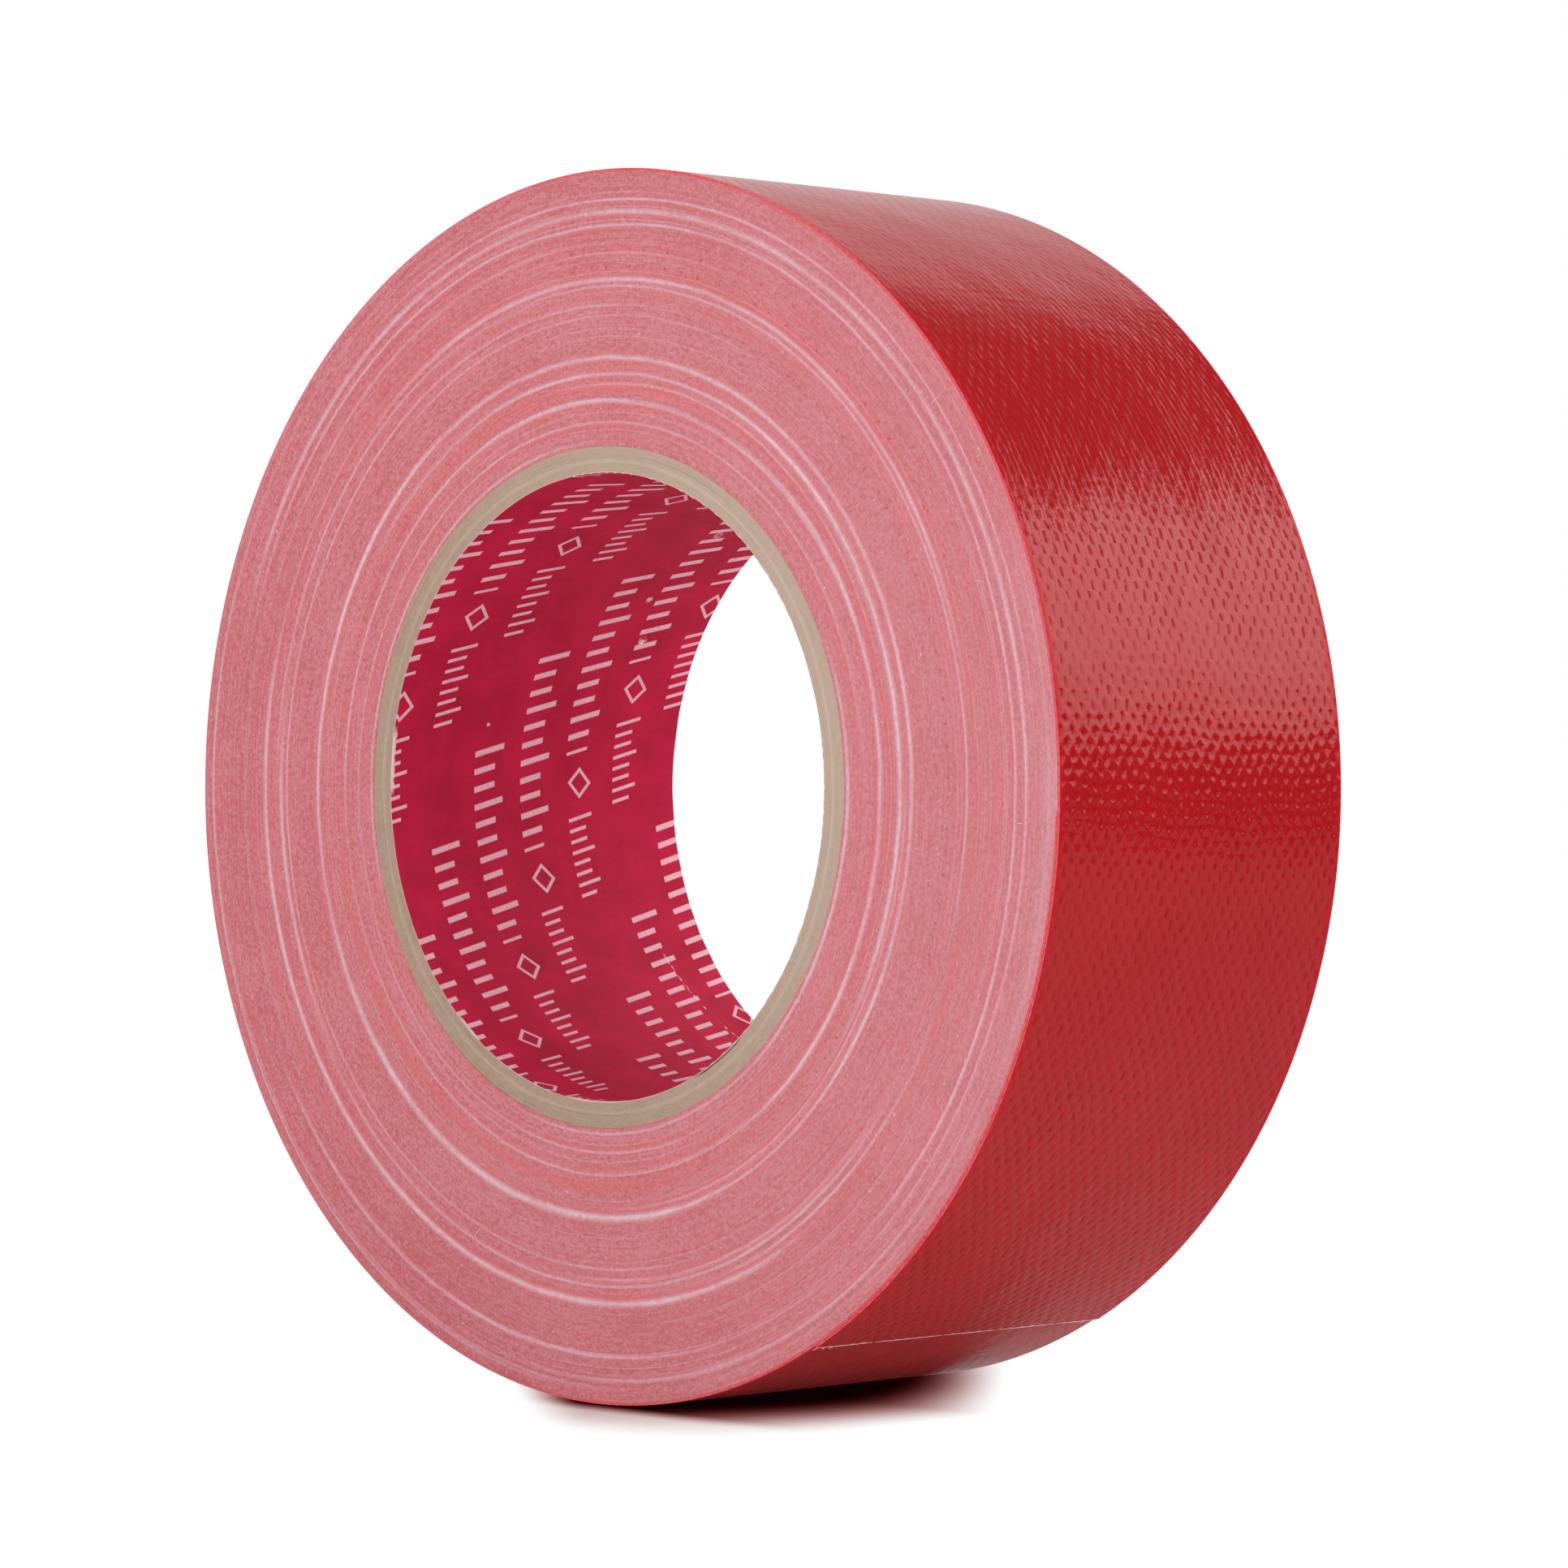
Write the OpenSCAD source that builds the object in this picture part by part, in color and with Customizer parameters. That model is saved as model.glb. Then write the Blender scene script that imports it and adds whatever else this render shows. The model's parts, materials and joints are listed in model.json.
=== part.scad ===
// Roll of cloth-backed duct tape wound on a paperboard core.
//
// Frame: the origin is the centre of the core's bore, half way across the tape. +Y runs along
// the bore, +Z is up, and the roll's front side faces -Y. Angles are measured about the bore
// from +X towards +Z.
//
// The tape is one long web of three layers: adhesive inside, woven cloth, and a polyethylene
// film outside. All its turns but the last are the wound body. The last turn lies on it layer
// by layer, and that turn's last stretch is the free tail, split at the lines where it bends
// as it peels off the roll.
//
// The web winds outward with falling angle. Its spiral is made of half turns about two centres,
// a quarter of the tape's thickness to either side of the bore's axis, so each turn is one
// tape thickness further out than the turn beneath it and the half turns meet without a step.

/* [Tape] */
// Width of the tape, and so of the roll
tape_width = 50; // [12:1:100]
// Diameter of the roll, measured over the tape's cut end
roll_diameter = 151; // [100:1:220]
// Thickness of the polyethylene film on the outside of the tape
film_thickness = 0.07; // [0.04:0.01:0.12]
// Thickness of the woven cloth in the middle of the tape
cloth_thickness = 0.11; // [0.08:0.01:0.16]
// Thickness of the adhesive on the inside of the tape
adhesive_thickness = 0.07; // [0.04:0.01:0.12]

/* [Core] */
// Bore of the core, inside its printed lining
bore_diameter = 76.7; // [50:0.1:80]
// Thickness of the printed paper lining
liner_thickness = 0.15; // [0.1:0.05:0.3]
// Wall of the core, lining included
core_wall = 3.25; // [2:0.05:6]

/* [Tail] */
// Angle of the tape's cut end
cut_angle = -60.6; // [-180:0.1:180]
// Arc of the free tail, from the cut end back to the line where it peels
tail_arc = 54; // [18:1:90]
// Gap under the tail, which lies on the roll without being pressed down
tail_lift = 0.03; // [0.02:0.01:0.1]
// Gap between two segments of the tail at a bending line
segment_gap = 0.02; // [0.02:0.01:0.1]

/* [Hidden] */
$fn = 240;

tape_thickness = film_thickness + cloth_thickness + adhesive_thickness;

bore_radius = bore_diameter / 2;
liner_radius = bore_radius + liner_thickness;
core_radius = bore_radius + core_wall;
ply_count = 6;
ply_thickness = (core_radius - liner_radius) / ply_count;

// Each turn is an early half, from the cut end's angle on, and a late half that ends at it
centre_offset = tape_thickness / 4;
late_radius = roll_diameter / 2 - centre_offset;
early_radius = late_radius - tape_thickness / 2;

tail_segments = 6;
segment_arc = tail_arc / tail_segments;
gap_arc = segment_gap / late_radius * 180 / PI;

// Depth of each layer's outer face under the tape's outer face
film_depth = 0;
cloth_depth = film_thickness;
adhesive_depth = film_thickness + cloth_thickness;

liner_color = [0.60, 0.11, 0.21];
board_color = [0.70, 0.60, 0.52];
wound_color = [0.82, 0.48, 0.50];
film_color = [0.64, 0.09, 0.10];
cloth_color = [0.85, 0.60, 0.60];
adhesive_color = [0.90, 0.78, 0.76];

// Turns a shape drawn in the plane of the winding, with the cut end on +X, into its place
module winding() {
    rotate([90, 0, 0]) rotate([0, 0, cut_angle]) children();
}

// Tube about the bore, as wide as the tape
module tube(inner_radius, outer_radius) {
    winding() difference() {
        cylinder(r = outer_radius, h = tape_width, center = true);
        cylinder(r = inner_radius, h = tape_width + 2, center = true);
    }
}

// Part of a ring about one of the two centres of the spiral, between two angles that are
// measured from the cut end, against the winding. The late half turn is from 0 to 180 degrees
// about the centre on the side of the cut end, and the early half is from 180 to 360.
module band(side, inner_radius, outer_radius, from_angle, to_angle) {
    translate([side * centre_offset, 0, 0])
        rotate_extrude(angle = to_angle - from_angle, start = from_angle)
            translate([inner_radius, -tape_width / 2])
                square([outer_radius - inner_radius, tape_width]);
}

module early_band(inner_radius, outer_radius) {
    band(-1, inner_radius, outer_radius, 180, 360);
}

module late_band(inner_radius, outer_radius, from_angle, to_angle) {
    band(1, inner_radius, outer_radius, from_angle, to_angle);
}

// One ply of the core, counted outward from the lining
module core_ply(number) {
    inner = liner_radius + (number - 1) * ply_thickness;
    color(board_color) tube(inner, inner + ply_thickness);
}

// Printed paper that lines the core
module core_liner() {
    color(liner_color) tube(bore_radius, liner_radius);
}

// Every turn of the tape but the last, stuck to the core and to each other
module wound_tape() {
    color(wound_color) winding() difference() {
        union() {
            early_band(0, early_radius - tape_thickness);
            late_band(0, late_radius - tape_thickness, 0, 180);
        }
        cylinder(r = core_radius, h = tape_width + 2, center = true);
    }
}

// One layer of the last turn, from the end of the turn beneath it to the peel line
module outer_turn(depth, thickness) {
    winding() union() {
        early_band(early_radius - depth - thickness, early_radius - depth);
        late_band(late_radius - depth - thickness, late_radius - depth, tail_arc, 180);
    }
}

module outer_turn_adhesive() {
    color(adhesive_color) outer_turn(adhesive_depth, adhesive_thickness);
}

module outer_turn_cloth() {
    color(cloth_color) outer_turn(cloth_depth, cloth_thickness);
}

module outer_turn_film() {
    color(film_color) outer_turn(film_depth, film_thickness);
}

// One layer of one segment of the tail, counted from the peel line to the cut end
module tail_segment(number, depth, thickness) {
    outer = late_radius + tail_lift - depth;
    start = tail_arc - (number - 1) * segment_arc;
    winding() late_band(outer - thickness, outer, start - segment_arc, start - gap_arc);
}

module tail_adhesive(number) {
    color(adhesive_color) tail_segment(number, adhesive_depth, adhesive_thickness);
}

module tail_cloth(number) {
    color(cloth_color) tail_segment(number, cloth_depth, cloth_thickness);
}

module tail_film(number) {
    color(film_color) tail_segment(number, film_depth, film_thickness);
}

core_liner();
core_ply(1);  // core_ply_1
core_ply(2);  // core_ply_2
core_ply(3);  // core_ply_3
core_ply(4);  // core_ply_4
core_ply(5);  // core_ply_5
core_ply(6);  // core_ply_6
wound_tape();
outer_turn_adhesive();
outer_turn_cloth();
outer_turn_film();
tail_adhesive(1);  // tail_1_adhesive
tail_cloth(1);  // tail_1_cloth
tail_film(1);  // tail_1_film
tail_adhesive(2);  // tail_2_adhesive
tail_cloth(2);  // tail_2_cloth
tail_film(2);  // tail_2_film
tail_adhesive(3);  // tail_3_adhesive
tail_cloth(3);  // tail_3_cloth
tail_film(3);  // tail_3_film
tail_adhesive(4);  // tail_4_adhesive
tail_cloth(4);  // tail_4_cloth
tail_film(4);  // tail_4_film
tail_adhesive(5);  // tail_5_adhesive
tail_cloth(5);  // tail_5_cloth
tail_film(5);  // tail_5_film
tail_adhesive(6);  // tail_6_adhesive
tail_cloth(6);  // tail_6_cloth
tail_film(6);  // tail_6_film
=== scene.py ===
"""Looks of a roll of cloth-backed duct tape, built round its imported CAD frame.

Lengths in this script are millimetres and angles are degrees, until a mesh is made.
Positions on the tape use the angle u, measured from the cut end against the winding: the
tape's outer face is at ROLL_RADIUS at the cut end, and one THICKNESS further in per 360 of u.
"""

import json
import math

import bpy
import numpy as np
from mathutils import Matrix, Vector


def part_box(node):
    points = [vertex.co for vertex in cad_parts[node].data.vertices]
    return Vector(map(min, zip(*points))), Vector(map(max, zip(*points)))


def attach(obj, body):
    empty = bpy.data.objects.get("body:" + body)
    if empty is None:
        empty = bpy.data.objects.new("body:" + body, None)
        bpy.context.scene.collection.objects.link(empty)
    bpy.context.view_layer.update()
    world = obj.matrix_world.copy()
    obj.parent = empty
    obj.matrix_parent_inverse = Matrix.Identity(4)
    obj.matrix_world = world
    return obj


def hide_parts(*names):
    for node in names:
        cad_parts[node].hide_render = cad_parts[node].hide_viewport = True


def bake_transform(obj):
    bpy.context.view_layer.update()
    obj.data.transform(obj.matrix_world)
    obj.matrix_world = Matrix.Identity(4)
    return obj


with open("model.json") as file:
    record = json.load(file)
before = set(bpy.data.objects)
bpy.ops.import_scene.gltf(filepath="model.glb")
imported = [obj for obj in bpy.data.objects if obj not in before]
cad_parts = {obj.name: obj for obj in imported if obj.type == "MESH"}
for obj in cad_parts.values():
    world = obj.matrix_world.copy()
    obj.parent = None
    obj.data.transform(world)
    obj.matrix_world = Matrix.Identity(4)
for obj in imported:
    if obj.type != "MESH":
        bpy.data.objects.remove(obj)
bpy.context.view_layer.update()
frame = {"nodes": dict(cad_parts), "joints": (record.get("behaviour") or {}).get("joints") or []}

MM = 0.001


# ---------------------------------------------------------------- sizes, from the frame

def radii(node):
    """Least and greatest distance of a CAD node's surface from the bore's axis."""
    points = np.array([vertex.co[:] for vertex in frame["nodes"][node].data.vertices]) / MM
    distance = np.hypot(points[:, 0], points[:, 2])
    return round(distance.min(), 2), round(distance.max(), 2)


def layer_thickness(layer):
    """Thickness of one of the tape's layers, measured on the last segment of the tail."""
    inner, outer = radii("tail_6_" + layer)
    return round(outer - inner, 2)


HALF_WIDTH = round(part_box("core_liner")[1].y / MM, 2)
FILM = layer_thickness("film")
CLOTH = layer_thickness("cloth")
ADHESIVE = layer_thickness("adhesive")
THICKNESS = FILM + CLOTH + ADHESIVE
# Gap under the tail, which lies on the roll without being pressed down
TAIL_LIFT = 0.03
ROLL_RADIUS = radii("tail_6_film")[1] - TAIL_LIFT
CORE_RADIUS = radii("core_ply_6")[1]
LINER_RADII = radii("core_liner")
PLY_COUNT = 6

HINGE_ANGLES = [
    round(math.degrees(math.atan2(joint["pos_m"][2], joint["pos_m"][0])), 1)
    for joint in frame["joints"]
]
SEGMENT = round(HINGE_ANGLES[0] - HINGE_ANGLES[1], 1)
CUT_ANGLE = HINGE_ANGLES[-1] - SEGMENT
PEEL = HINGE_ANGLES[0] - CUT_ANGLE

# The strips of the last turn begin half a segment before the peel line
ROOT_END = PEEL + SEGMENT / 2

# The cloth's yarns: wefts cross the tape, warps run along it
WEFT_PITCH = 1.44
WARP_PITCH = 0.98
RELIEF = 0.05
# Stretches where the weave changes, as distances from the cut end: the slack winding ends, so
# it stands out less; then the painted shade in its hollows grows; and then it is pressed flat
SLACK_ENDS = (100.0, 84.0)
HOLLOW_SHADE_GROWS = (94.0, 112.0)
WEAVE_FLATTENS = (121.0, 134.0)


# ---------------------------------------------------------------- geometry helpers

def spiral_radius(u):
    """Radius of the tape's outer face at the angle u, which grows by 360 for each turn in."""
    return ROLL_RADIUS - THICKNESS * u / 360


def at_angle(u, radius, y):
    """Points at the angle u from the cut end, a radius from the axis and y along the bore."""
    theta = np.radians(CUT_ANGLE + u)
    return np.stack(np.broadcast_arrays(radius * np.cos(theta), y, radius * np.sin(theta)), -1)


def smoothstep(low, high, value):
    """0 at low and 1 at high, turning smoothly; low may be the greater of the two."""
    share = np.clip((value - low) / (high - low), 0, 1)
    return share * share * (3 - 2 * share)


def wander(position, seed, repeat=4096):
    """Smooth random curve between -1 and 1 with a knot at each whole position."""
    knots = np.random.default_rng(seed).uniform(-1, 1, repeat)
    low = np.floor(position).astype(int)
    share = position - low
    share = share * share * (3 - 2 * share)
    return knots[low % repeat] * (1 - share) + knots[(low + 1) % repeat] * share


def wander_round(theta, knot_spacing, seed):
    """Such a curve round the bore, which meets itself; the spacing must divide 360 degrees."""
    return wander(theta / knot_spacing, seed, round(360 / knot_spacing))


def loft(name, sections, closed=False, sharp=40):
    """Solid through a row of closed outlines, sections[outline][point], smooth shaded."""
    rows, points = sections.shape[:2]
    index = np.arange(rows * points).reshape(rows, points)
    this_row = index if closed else index[:-1]
    next_row = np.roll(index, -1, axis=0)[: len(this_row)]
    corners = (this_row, np.roll(this_row, -1, 1), np.roll(next_row, -1, 1), next_row)
    quads = np.stack(corners, axis=-1).reshape(-1, 4)
    flat = sections.reshape(-1, 3)
    a, b, c, d = (flat[quads[:, k]] for k in range(4))
    volume = np.einsum("ij,ij->", a, np.cross(b, c)) + np.einsum("ij,ij->", a, np.cross(c, d))
    faces = quads.tolist()
    if not closed:
        faces.append(index[0][::-1].tolist())
        faces.append(index[-1].tolist())
    if volume < 0:
        faces = [face[::-1] for face in faces]
    mesh = bpy.data.meshes.new(name)
    mesh.from_pydata((flat * MM).tolist(), [], faces)
    mesh.shade_smooth()
    mesh.set_sharp_from_angle(angle=math.radians(sharp))
    piece = bpy.data.objects.new(name, mesh)
    bpy.context.scene.collection.objects.link(piece)
    return piece


def store(piece, name, values):
    """Keeps one number, or one vector, for each vertex of a piece, for its material to read."""
    kind = "FLOAT_VECTOR" if values.ndim > 1 and values.shape[-1] == 3 else "FLOAT"
    attribute = piece.data.attributes.new(name, kind, "POINT")
    field = "vector" if kind == "FLOAT_VECTOR" else "value"
    attribute.data.foreach_set(field, values.astype(np.float32).ravel())


def paint(piece, *materials, choose=None):
    """Gives a piece its materials; choose(centres in mm) says which each face takes."""
    for material in materials:
        piece.data.materials.append(material)
    if choose is not None:
        centres = np.zeros(len(piece.data.polygons) * 3)
        piece.data.polygons.foreach_get("center", centres)
        picked = choose(centres.reshape(-1, 3) / MM).astype(np.int32)
        piece.data.polygons.foreach_set("material_index", picked)


def put_on_root(piece, node):
    """Fixes a piece to the root body, in place of a CAD node."""
    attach(piece, "root")
    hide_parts(node)


# ---------------------------------------------------------------- shader helpers

class Value:
    """A number at each shaded point. Arithmetic on it adds math nodes to its node tree."""

    def __init__(self, tree, socket):
        self.tree = tree
        self.socket = socket

    def math(self, operation, *others):
        """Result of a math node that takes this number first and then the others."""
        node = self.tree.nodes.new("ShaderNodeMath")
        node.operation = operation
        for slot, item in zip(node.inputs, (self, *others)):
            set_input(self.tree, slot, item)
        return Value(self.tree, node.outputs[0])

    def __add__(self, other):
        return self.math("ADD", other)

    __radd__ = __add__

    def __sub__(self, other):
        return self.math("SUBTRACT", other)

    def __rsub__(self, other):
        return self.math("MULTIPLY_ADD", -1.0, other)

    def __mul__(self, other):
        return self.math("MULTIPLY", other)

    __rmul__ = __mul__

    def __truediv__(self, other):
        return self.math("DIVIDE", other)

    def sin(self):
        return self.math("SINE")

    def cos(self):
        return self.math("COSINE")

    def __abs__(self):
        return self.math("ABSOLUTE")

    def floor(self):
        return self.math("FLOOR")

    def fract(self):
        return self.math("FRACT")

    def step(self, low, high):
        """0 below low and 1 above high, turning smoothly; falls instead if high is below low."""
        if high < low:
            return 1 - self.step(high, low)
        node = self.tree.nodes.new("ShaderNodeMapRange")
        node.interpolation_type = "SMOOTHSTEP"
        for slot, item in zip(node.inputs, (self, low, high)):
            set_input(self.tree, slot, item)
        return Value(self.tree, node.outputs[0])


def set_input(tree, slot, item):
    """Links a Value to a node's input, or sets the input to a constant."""
    if isinstance(item, Value):
        tree.links.new(item.socket, slot)
    else:
        slot.default_value = item


def sine(value):
    """Sine of an array or of a Value."""
    return value.sin() if isinstance(value, Value) else np.sin(value)


def cosine(value):
    """Cosine of an array or of a Value."""
    return value.cos() if isinstance(value, Value) else np.cos(value)


def ramp(value, low, high):
    """The same smooth step for an array or for a Value."""
    return value.step(low, high) if isinstance(value, Value) else smoothstep(low, high, value)


class Shader:
    """The node tree of a material or of the world, with short calls for the nodes used here."""

    def __init__(self, tree):
        self.tree = tree
        tree.nodes.clear()

    def node(self, kind, inputs=(), output=0, **settings):
        """Adds a node with its inputs, a dict or pairs of name and value, and gives an output."""
        node = self.tree.nodes.new("ShaderNode" + kind)
        for name, setting in settings.items():
            setattr(node, name, setting)
        for name, item in dict(inputs).items():
            set_input(self.tree, node.inputs[name], item)
        return Value(self.tree, node.outputs[output])

    def split(self, vector):
        """The three parts of a vector."""
        node = self.tree.nodes.new("ShaderNodeSeparateXYZ")
        self.tree.links.new(vector.socket, node.inputs[0])
        return [Value(self.tree, output) for output in node.outputs]

    def join(self, x, y, z):
        """Vector of three numbers."""
        return self.node("CombineXYZ", {"X": x, "Y": y, "Z": z})

    def position(self):
        """Place of the shaded point on the piece at rest, in metres."""
        return self.node("TexCoord", output="Object")

    def attribute(self, name, output="Fac"):
        """Number, or with the output Vector the vector, that store() kept on the piece."""
        return self.node("Attribute", output=output, attribute_name=name)

    def noise(self, vector, scale, detail=2.0, roughness=0.5):
        """Smooth random number about 0.5, with that many patches to a unit of the vector."""
        inputs = {"Vector": vector, "Scale": scale, "Detail": detail, "Roughness": roughness}
        return self.node("TexNoise", inputs)

    def mix(self, share, first, second):
        """Colour between two colours, each a Value or an (r, g, b)."""
        node = self.tree.nodes.new("ShaderNodeMix")
        node.data_type = "RGBA"
        set_input(self.tree, node.inputs[0], share)
        for slot, colour in ((6, first), (7, second)):
            item = colour if isinstance(colour, Value) else (*colour, 1)
            set_input(self.tree, node.inputs[slot], item)
        return Value(self.tree, node.outputs[2])

    def bump(self, height, strength=1.0):
        """Normals of a height in millimetres."""
        return self.node("Bump", {"Height": height, "Distance": MM, "Strength": strength})

    def principled(self, colour, roughness, normal=None, **inputs):
        """Finishes a material with a Principled surface."""
        chosen = {"Base Color": colour, "Roughness": roughness}
        if normal is not None:
            chosen["Normal"] = normal
        chosen.update({name.replace("_", " "): item for name, item in inputs.items()})
        surface = self.node("BsdfPrincipled", chosen)
        self.output(surface)

    def combine(self, kind, *items):
        """Surface from two surfaces: their sum, AddShader, or a share of each, MixShader."""
        node = self.tree.nodes.new("ShaderNode" + kind)
        for slot, item in zip(node.inputs, items):
            set_input(self.tree, slot, item)
        return Value(self.tree, node.outputs[0])

    def output(self, surface, kind="OutputMaterial"):
        """Makes a surface the result of the node tree."""
        node = self.tree.nodes.new("ShaderNode" + kind)
        self.tree.links.new(surface.socket, node.inputs["Surface"])


def material(name):
    """A new material and the shader to build it with."""
    made = bpy.data.materials.new(name)
    made.use_nodes = True
    return made, Shader(made.node_tree)


# ---------------------------------------------------------------- the weave

def weave(along, across):
    """Height of the film over the cloth's yarns, about 0 to 1, and where its hollows are.

    It takes arrays for a mesh or Values for a material, so both show the same weave.
    """
    weft = along / WEFT_PITCH + 0.35 * sine(across / 9.0 + 1.2 * sine(along / 31.0))
    weft = weft + 0.14 * sine(across / 1.9 + along / 7.3)
    warp = across / WARP_PITCH + 0.30 * sine(along / 13.0 + 1.5 * sine(across / 11.0))
    warp = warp + 0.14 * sine(along / 2.7 - across / 5.1)
    warp_side = sine(warp * math.pi)
    crossing = sine(weft * math.pi) * warp_side
    ridge = cosine(weft * math.tau)
    uneven = sine(weft * 2.13 + 1.9 * sine(warp * 0.83)) * sine(warp * 1.71 + sine(weft * 0.47))
    groove = ramp(abs(warp_side), 0.70, 1.0)
    pit = ramp(0 - crossing, 0.10, 0.85) * groove * (0.64 + 0.36 * uneven)
    hollow = ramp(0 - crossing, 0.0, 0.60) * ramp(abs(warp_side), 0.64, 0.96)
    slack = ramp(along, *SLACK_ENDS)
    flat = ramp(along, *WEAVE_FLATTENS)
    height = 0.62 + (0.12 + 0.38 * slack) * crossing + (0.04 + 0.08 * slack) * ridge
    height = height - 0.17 * groove - (0.32 - 0.20 * flat) * pit
    return height, hollow * (0.68 + 0.32 * uneven)


# ---------------------------------------------------------------- places on the roll

def tape_place(shader):
    """Distance along and across the tape, in mm, of a point on one of its strips."""
    along, across, _ = shader.split(shader.attribute("tape_mm", "Vector"))
    return along, across


def polar(shader):
    """Cosine and sine of the angle round the bore, the radius, and y, of the shaded point."""
    x, y, z = shader.split(shader.position())
    radius = (x * x + z * z).math("SQRT")
    return x / radius, z / radius, radius / MM, y / MM


def near_angle(cos, sin, middle, half_arc):
    """1 within an arc about an angle round the bore, falling to 0 at its ends."""
    middle = math.radians(middle)
    closeness = cos * math.cos(middle) + sin * math.sin(middle)
    return closeness.step(math.cos(math.radians(half_arc)), math.cos(math.radians(half_arc * 0.6)))


# ---------------------------------------------------------------- materials

FILM_RED = (0.245, 0.003, 0.005)
FILM_RED_LIGHT = (0.285, 0.006, 0.008)
# Darker red of the painted shade in the film's hollows
FILM_RED_SHADED = (0.18, 0.002, 0.004)
FILM_RED_EDGE = (0.34, 0.005, 0.010)
# Red of the film's slit edge, painted brighter as a glow of light coming through the film
EDGE_RED_GLOW = (0.62, 0.022, 0.036)
EDGE_PINK = (0.66, 0.110, 0.135)
PINK = (0.535, 0.153, 0.171)
PINK_PALE = (0.575, 0.215, 0.239)
PINK_DEEP = (0.475, 0.088, 0.105)
# Greyer, paler pink of a painted sheen
PINK_SHEEN = (0.510, 0.210, 0.232)
CORAL = (0.63, 0.112, 0.120)
CHALK = (0.66, 0.45, 0.50)
SPECK = (0.50, 0.040, 0.060)
COTTON = (0.80, 0.66, 0.64)
COTTON_PINK = (0.62, 0.34, 0.34)
YARN_DARK = (0.56, 0.33, 0.35)
YARN_PALE = (0.76, 0.55, 0.56)
ADHESIVE_CREAM = (0.72, 0.62, 0.54)
ADHESIVE_DARK = (0.64, 0.53, 0.46)
BOARD = (0.390, 0.280, 0.212)
BOARD_DARK = (0.330, 0.232, 0.170)
BOARD_LIGHT = (0.50, 0.385, 0.310)
LINER_RED = (0.43, 0.006, 0.042)
LINER_RED_DEEP = (0.32, 0.004, 0.028)
PAPER = (0.62, 0.48, 0.45)
PAPER_EDGE = (0.62, 0.46, 0.42)
PRINT = (0.64, 0.37, 0.42)

# The painted shade in a hollow of the film lies this far beside its lowest point, on the flank the
# next yarn shades
SHADE_ALONG = -0.08
SHADE_ACROSS = 0.10


def film_material():
    """Polyethylene film: glossy red, with the weave standing through it and painted shade in its
    hollows.
    """
    made, shader = material("tape_film")
    along, across = tape_place(shader)
    place = shader.join(along, across, 0.0)
    drift = shader.noise(place, 0.55, 1) - 0.5
    weft_place = along + drift * 1.3
    warp_place = across + drift * 0.7
    yarns, _ = weave(weft_place, warp_place)
    _, hollow = weave(weft_place + SHADE_ALONG, warp_place + SHADE_ACROSS)
    crimp = shader.noise(shader.join(along * 1.3, across * 0.7, 0.0), 0.9, 1)
    yarn = shader.noise(shader.join(along / 5.0, across, 0.0), 1.1, 1)
    ripple = shader.noise(place, 0.06, 2)
    bands = shader.noise(shader.join(along / 9.0, across, 0.0), 0.16, 2)
    wefts = shader.noise(shader.join(along, across / 12.0, 0.0), 0.7, 1)
    pores = shader.noise(place, 3.2, 2)
    height = yarns * RELIEF * (0.5 + yarn) + ripple * 0.45 + bands * 0.16 + wefts * 0.03
    height = height + crimp * 0.032 + pores * 0.007

    shade = shader.noise(place, 0.04, 2).step(0.3, 0.7) * 0.4 + yarns * 0.3
    # Painted shade: hollows are darker and reflect less, in patches, and some more than others
    shade_patches = shader.noise(shader.join(along / 2.0, across, 0.0), 0.13, 2).step(0.30, 0.66)
    chance = shader.noise(place, 0.85, 2).step(0.36, 0.64)
    shade_strength = 0.72 + 0.90 * along.step(*HOLLOW_SHADE_GROWS) - 1.15 * along.step(*WEAVE_FLATTENS)
    hollow_shade = hollow.step(0.04, 0.42) * (0.22 + 0.45 * shade_patches + 0.70 * chance) * shade_strength
    hollow_shade = hollow_shade.math("MINIMUM", 1.0)
    slit = abs(across).step(HALF_WIDTH - 1.3, HALF_WIDTH - 0.1)
    colour = shader.mix(shade, FILM_RED, FILM_RED_LIGHT)
    colour = shader.mix(hollow_shade * 0.6, colour, FILM_RED_SHADED)
    colour = shader.mix(slit * 0.7, colour, FILM_RED_EDGE)
    rough = 0.10 + pores * 0.05 + hollow_shade * 0.10
    # The painted shade in the hollows also weakens their reflection
    shine = 0.5 * (1 - hollow_shade * 0.85) * (1 - slit * 0.6)
    shader.principled(colour, rough, shader.bump(height), IOR=1.5, Specular_IOR_Level=shine)
    return made


def film_edge_material():
    """Slit edge of the tape, where light comes through the red film."""
    made, shader = material("film_edge")
    along, _ = tape_place(shader)
    cos, _, _, _ = polar(shader)
    streak = shader.noise(shader.join(along, 0.0, 0.0), 1.3, 3)
    stretch = shader.noise(shader.join(along, 0.0, 0.0), 0.05, 1)
    # Painted light: the bright red edge fades to pink towards the left, where it catches less
    # light, and also in random stretches
    painted_side_light = cos.step(0.2, -0.5) * 0.75 + stretch.step(0.45, 0.7) * 0.3
    colour = shader.mix(streak.step(0.35, 0.7), EDGE_RED_GLOW, EDGE_PINK)
    colour = shader.mix(painted_side_light.math("MINIMUM", 1.0), colour, PINK)
    shader.principled(colour, 0.45, IOR=1.5)
    return made


def cloth_material():
    """Woven cotton and polyester cloth."""
    made, shader = material("tape_cloth")
    along, across = tape_place(shader)
    yarns, _ = weave(along, across)
    fibre = shader.noise(shader.join(along, across * 6.0, 0.0), 2.0, 3)
    colour = shader.mix(yarns * 0.5 + fibre * 0.4, COTTON_PINK, COTTON)
    shader.principled(colour, 0.85, shader.bump(yarns * 0.05 + fibre * 0.02), IOR=1.45)
    return made


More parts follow.
